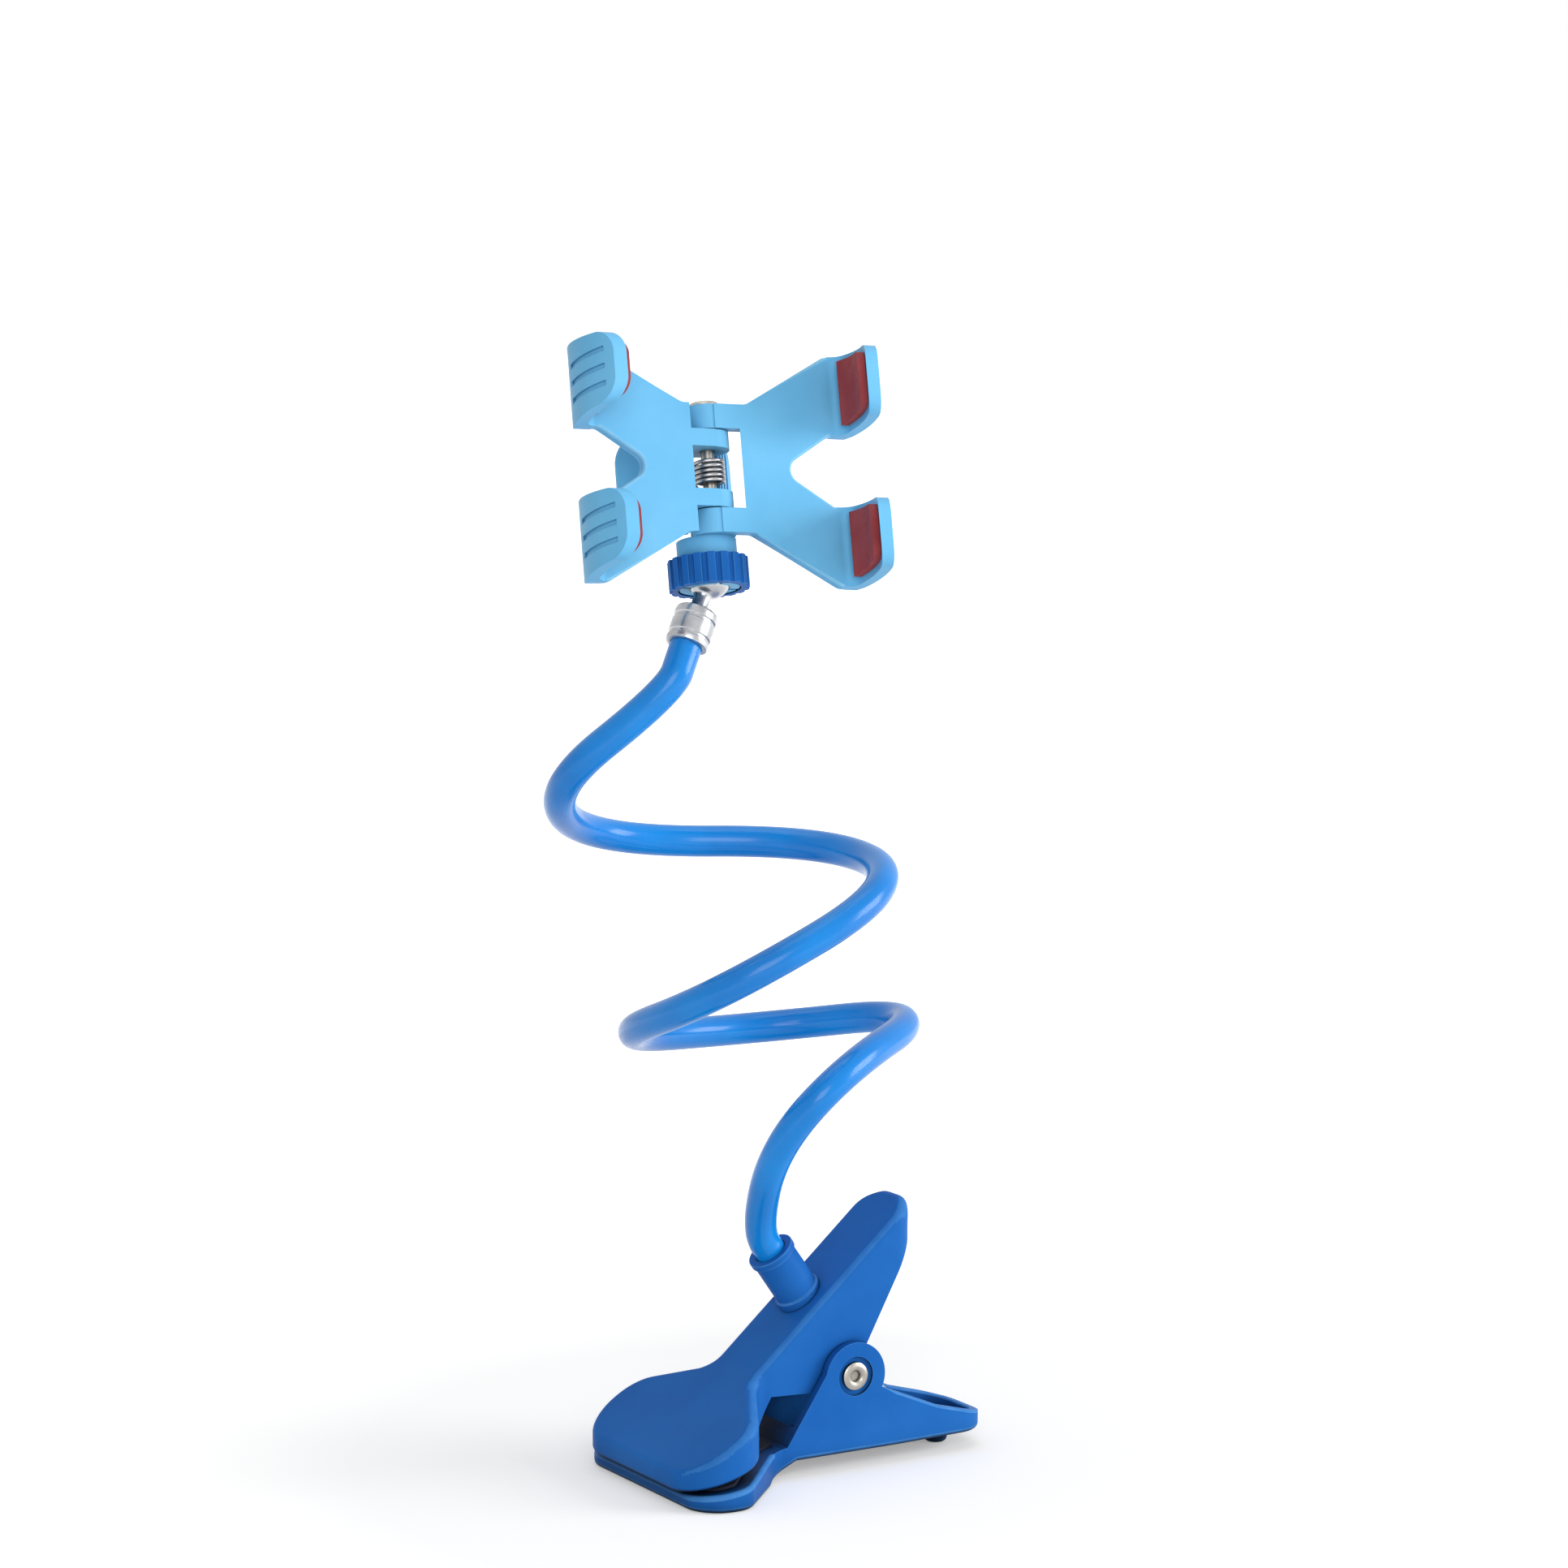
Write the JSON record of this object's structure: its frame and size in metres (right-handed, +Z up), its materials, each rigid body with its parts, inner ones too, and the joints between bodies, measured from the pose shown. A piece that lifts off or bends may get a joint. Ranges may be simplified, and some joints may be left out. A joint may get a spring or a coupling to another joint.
{
  "type": "phone gooseneck holder",
  "caption": "Clip-on phone holder: a sprung clamp carries a bendable looped neck with a ball joint and a sprung claw cradle with soft finger pads.",
  "frame": {"origin": "on the table under the clamp's pivot, on the clamp's middle plane", "axes": "+X from the clamp's nose to its handles, -Y the side that the phone faces, +Z up"},
  "size_m": [0.1158, 0.0757, 0.2854],
  "materials": {
    "clamp_blue": "satin moulded plastic",
    "sleeve_blue": "glossy soft sleeve",
    "claw_sky": "satin moulded plastic",
    "pad_red": "matt soft rubber",
    "grip_dark": "matt rubber",
    "rivet_steel": "plated steel",
    "spring_steel": "drawn steel wire",
    "ferrule_steel": "plated steel",
    "core_alloy": "soft alloy rod"
  },
  "bodies": {
    "lower_jaw": {"lower_jaw": "clamp_blue", "lower_jaw_pad": "grip_dark", "pivot_rivet": "rivet_steel", "clamp_spring": "spring_steel"},
    "upper_jaw": {"upper_jaw": "clamp_blue", "upper_jaw_pad": "grip_dark", "neck_collar": "clamp_blue", "neck_sleeve": "sleeve_blue", "neck_core": "core_alloy"},
    "neck_top": {"neck_ferrule": "ferrule_steel", "ball_stud": "ferrule_steel"},
    "lock_nut": {"lock_nut": "clamp_blue"},
    "fixed_claw": {"fixed_claw": "claw_sky", "hinge_pin": "rivet_steel", "cradle_spring": "spring_steel", "fixed_upper_pad": "pad_red", "fixed_lower_pad": "pad_red"},
    "swing_claw": {"swing_claw": "claw_sky", "swing_upper_pad": "pad_red", "swing_lower_pad": "pad_red"}
  },
  "joints": [
    {"name": "jaw_open", "type": "hinge", "parent": "lower_jaw", "child": "upper_jaw", "pos_m": [0, 0, 0.024], "axis": [0, 1, 0], "range_deg": [0, 38], "stiffness_Nm_per_rad": 0.75, "springref_deg": -45.84, "deforming": ["clamp_spring"]},
    {"name": "neck_bend", "type": "hinge", "parent": "upper_jaw", "child": "neck_top", "pos_m": [-0.02, 0.005, 0.13], "axis": [0, 1, 0], "range_deg": [-25, 25], "deforming": ["neck_sleeve", "neck_core"]},
    {"name": "ball_tilt", "type": "hinge", "parent": "neck_top", "child": "lock_nut", "pos_m": [-0.03547, -0.00162, 0.22507], "axis": [0.9938, -0.0927, -0.0619], "range_deg": [-18, 18]},
    {"name": "cradle_swivel", "type": "hinge", "parent": "lock_nut", "child": "fixed_claw", "pos_m": [-0.03547, -0.00162, 0.22507], "axis": [0.0872, 0.2996, 0.9501], "continuous": true},
    {"name": "claw_open", "type": "hinge", "parent": "fixed_claw", "child": "swing_claw", "pos_m": [-0.0336, 0.0016, 0.2502], "axis": [-0.0872, -0.2996, -0.9501], "range_deg": [0, 30], "stiffness_Nm_per_rad": 0.3, "springref_deg": -17.19, "deforming": ["cradle_spring"]}
  ]
}
